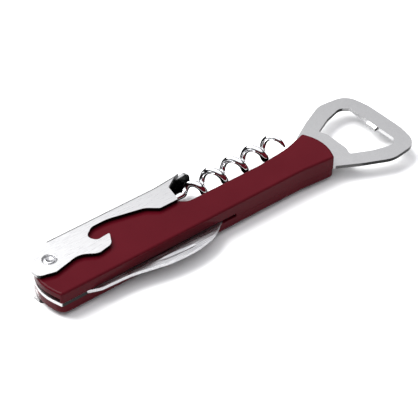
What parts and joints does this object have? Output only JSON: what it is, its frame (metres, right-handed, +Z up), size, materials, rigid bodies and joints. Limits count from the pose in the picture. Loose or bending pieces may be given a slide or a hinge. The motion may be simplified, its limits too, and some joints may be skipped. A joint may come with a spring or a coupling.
{
  "type": "waiters corkscrew",
  "caption": "Folding corkscrew: lacquered handle on a steel plate with a cap-opener loop, folding channel lever, folding worm and foil knife.",
  "frame": {"origin": "centre of the bounding box's base, under the lever's lower cheek", "axes": "+X from the lever rivet towards the opener loop, +Y towards the lever's closed back and the folded worm, +Z up through the handle's thickness"},
  "size_m": [0.147, 0.0386, 0.0117],
  "materials": {
    "scale": "deep burgundy gloss lacquer",
    "plate": "satin stainless steel",
    "lever": "fine satin nickel-plated steel with polished cut edges",
    "worm": "bright chrome",
    "blade": "lengthwise brushed stainless steel",
    "pin": "turned steel"
  },
  "bodies": {
    "handle": {"top_scale": "scale", "bottom_scale": "scale", "opener_plate": "plate", "scale_pins": "pin", "knife_spring": "pin", "spring_pin": "pin", "blade_pin": "pin", "lever_bush": "pin", "lever_rivet": "pin", "lever_washers": "pin", "worm_pin": "pin", "hub_washers": "pin"},
    "lever": {"lever": "lever"},
    "worm": {"worm": "worm", "worm_hub": "worm"},
    "knife": {"blade": "blade"}
  },
  "joints": [
    {"name": "lever_pivot", "type": "hinge", "parent": "handle", "child": "lever", "pos_m": [-0.066, 0.00627, 0.00585], "axis": [0, 0, 1], "range_deg": [0, 140]},
    {"name": "worm_pivot", "type": "hinge", "parent": "handle", "child": "worm", "pos_m": [-0.022, 0.0106, 0.00585], "axis": [0, 0, 1], "range_deg": [0, 91]},
    {"name": "knife_pivot", "type": "hinge", "parent": "handle", "child": "knife", "pos_m": [-0.0555, -0.0044, 0.00585], "axis": [0, 0, -1], "range_deg": [0, 100]}
  ],
  "couplings": [
    {"joint": "worm_pivot", "follows": "lever_pivot", "ratio": 0.65}
  ]
}
